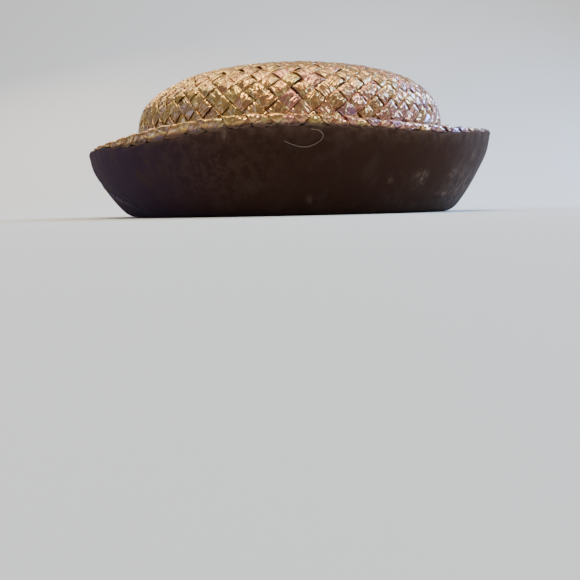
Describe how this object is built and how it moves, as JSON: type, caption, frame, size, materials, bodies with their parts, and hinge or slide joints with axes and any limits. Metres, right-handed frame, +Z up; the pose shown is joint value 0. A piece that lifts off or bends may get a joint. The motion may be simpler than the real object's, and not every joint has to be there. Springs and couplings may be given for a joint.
{
  "type": "tilt hat",
  "caption": "Small tilt hat with a low dome crown and an upturned brim plaited from glossy metallic straw strips; the brim is faced outside with brown velvet and the head opening is open below.",
  "frame": {"origin": "on the surface that the hat rests on, under the middle of its bounding box", "axes": "+Z up from the head opening to the crown's apex, +Y from front to back, -Y the front of the hat, +X the side on which the brim stands higher"},
  "size_m": [0.2219, 0.2382, 0.08],
  "materials": {
    "plait": "glossy crinkled bronze-gold straw strips, plaited over one and under one",
    "velvet": "dark brown pile velvet, crushed in places"
  },
  "bodies": {
    "root": {"crown": "plait", "brim": "plait", "brim_facing": "velvet"}
  },
  "joints": []
}
